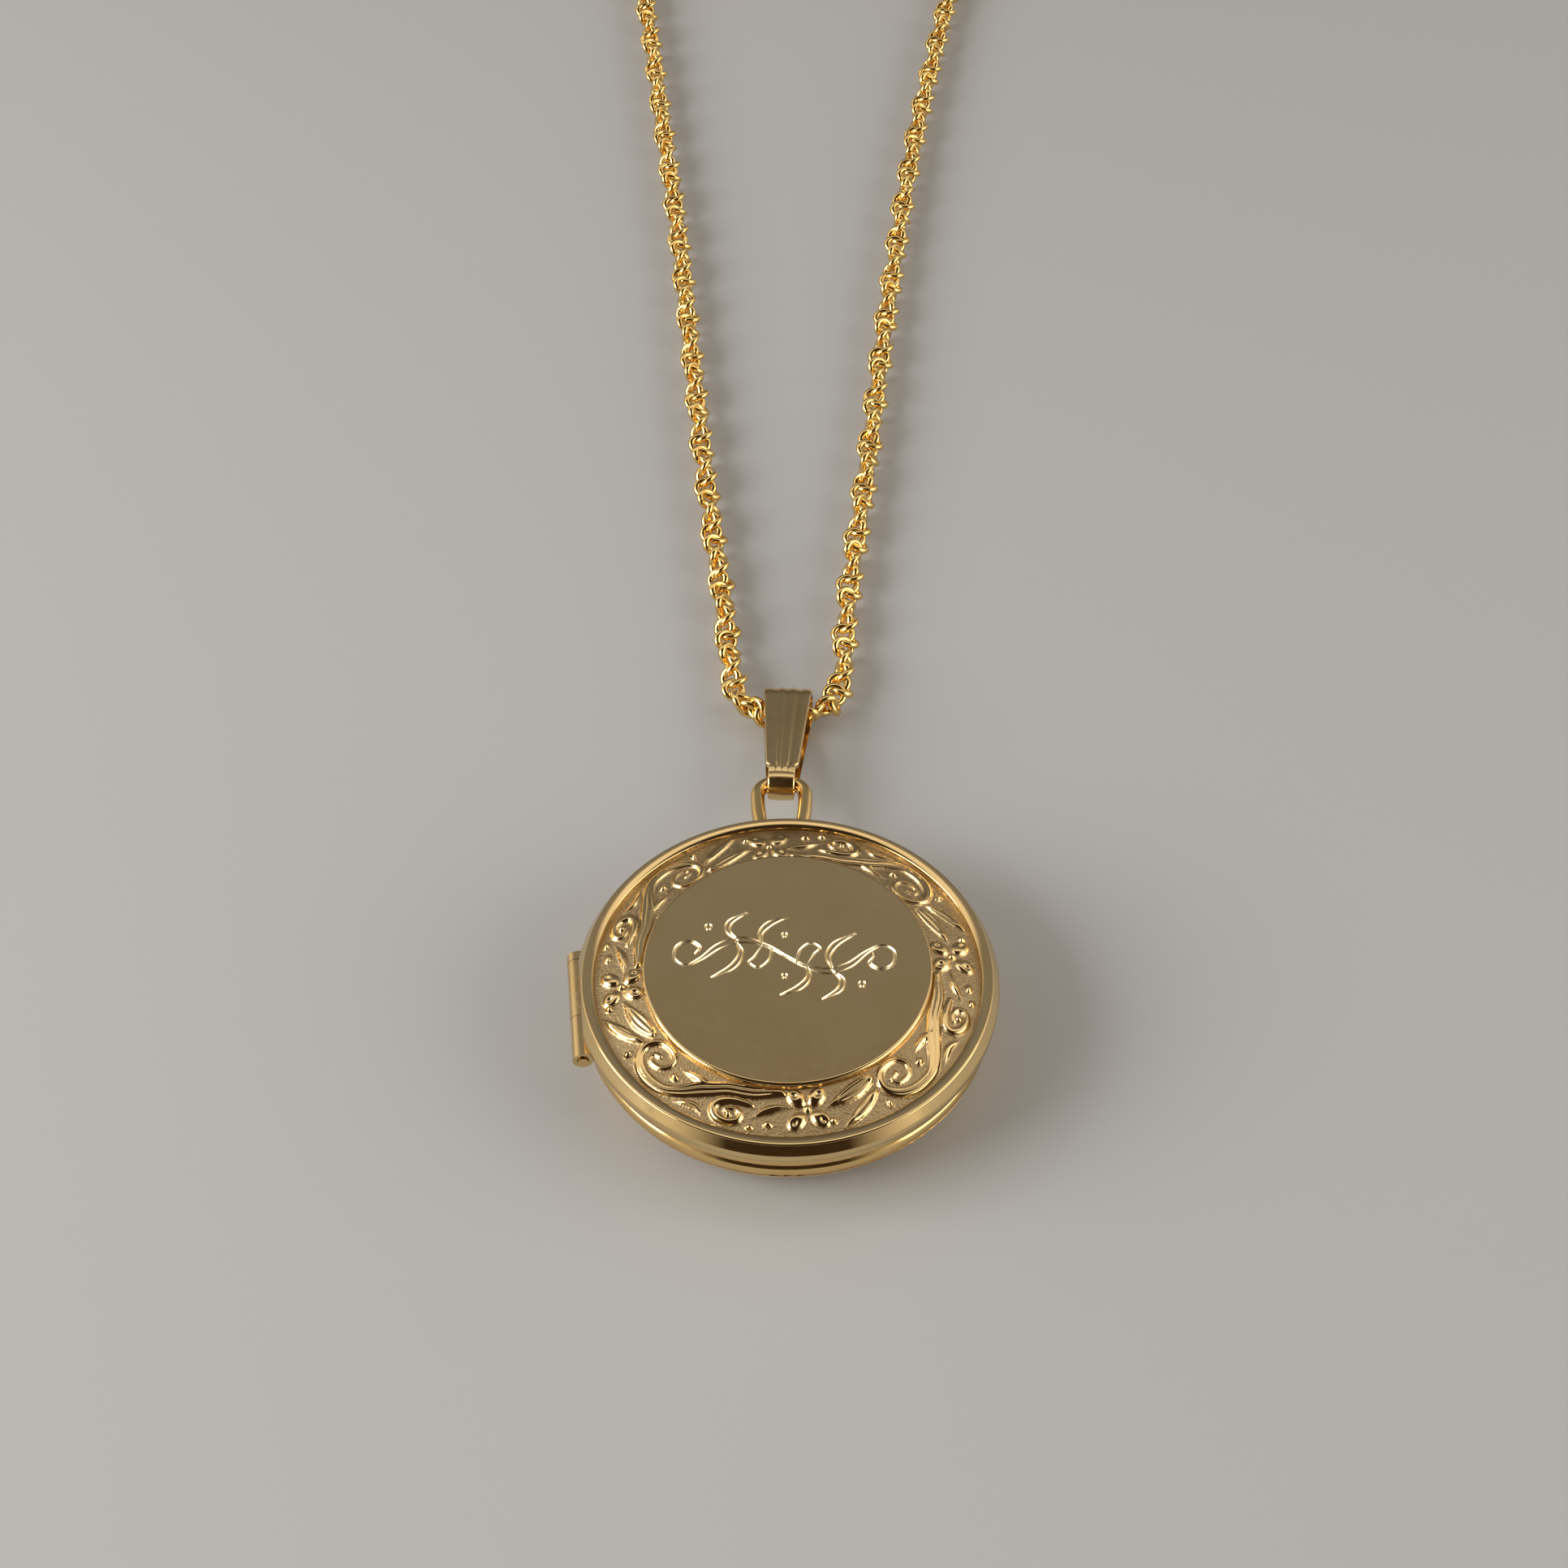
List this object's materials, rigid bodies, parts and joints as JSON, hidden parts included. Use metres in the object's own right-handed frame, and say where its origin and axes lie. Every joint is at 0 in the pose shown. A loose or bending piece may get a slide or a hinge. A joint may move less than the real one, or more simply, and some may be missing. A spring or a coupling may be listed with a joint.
{
  "type": "locket necklace",
  "caption": "Round hinged locket with a scrollwork border and a plain engraved plate, on a fluted bail and a fine rope chain with a spring-ring clasp.",
  "frame": {"origin": "centre of the flat resting face of the locket's back cover", "axes": "+Z out of the engraved front face, +Y from the locket towards its bail and chain, +X to the right when looking at the front"},
  "size_m": [0.0366, 0.137, 0.005],
  "materials": {
    "gold_case": "polished gold-filled, with a matte stippled border ground",
    "gold_trim": "polished gold-filled",
    "gold_inner": "satin gold-filled",
    "gold_chain": "bright gold-filled wire",
    "gold_clasp": "polished gold-filled",
    "spring_steel": "bright spring wire",
    "clear_plastic": "clear plastic film",
    "photo_paper": "blank photo paper"
  },
  "bodies": {
    "chain": {"chain_left": "gold_chain", "chain_right": "gold_chain", "chain_coil_left": "gold_chain", "chain_coil_right": "gold_chain", "chain_tail_left": "gold_chain", "chain_tail_right": "gold_chain", "end_ring_left": "gold_chain", "end_ring_right": "gold_chain", "clasp_ring": "gold_clasp", "clasp_eye": "gold_clasp", "clasp_spring": "spring_steel", "clasp_tab": "gold_clasp"},
    "bolt": {"clasp_bolt": "gold_clasp"},
    "bail": {"bail": "gold_trim"},
    "back": {"back_cover": "gold_case", "back_rim": "gold_case", "hinge_knuckle_middle": "gold_trim", "hinge_pin": "gold_trim", "top_loop": "gold_trim", "back_photo": "photo_paper", "back_window": "clear_plastic", "back_photo_frame": "gold_inner"},
    "front": {"front_cover": "gold_case", "front_rim": "gold_case", "hinge_knuckle_lower": "gold_trim", "hinge_knuckle_upper": "gold_trim", "front_photo": "photo_paper", "front_window": "clear_plastic", "front_photo_frame": "gold_inner"}
  },
  "joints": [
    {"name": "bail_on_chain", "type": "hinge", "parent": "chain", "child": "bail", "pos_m": [0.00002, 0.02034, 0.00137], "axis": [-0.9986, 0.0523, 0], "range_deg": [0, 60]},
    {"name": "loop_in_bail", "type": "hinge", "parent": "bail", "child": "back", "pos_m": [-0.0003, 0.0143, 0.00223], "axis": [-0.9986, 0.0523, 0], "range_deg": [0, 90]},
    {"name": "cover_hinge", "type": "hinge", "parent": "back", "child": "front", "pos_m": [-0.01008, -0.00077, 0.0026], "axis": [0.1045, -0.9945, 0], "range_deg": [0, 175]},
    {"name": "clasp_bolt_slide", "type": "hinge", "parent": "chain", "child": "bolt", "pos_m": [-0.0003, 0.124, 0.0012], "axis": [0, 0, 1], "range_deg": [0, 60], "stiffness_Nm_per_rad": 0.002, "springref_deg": -11.46}
  ]
}
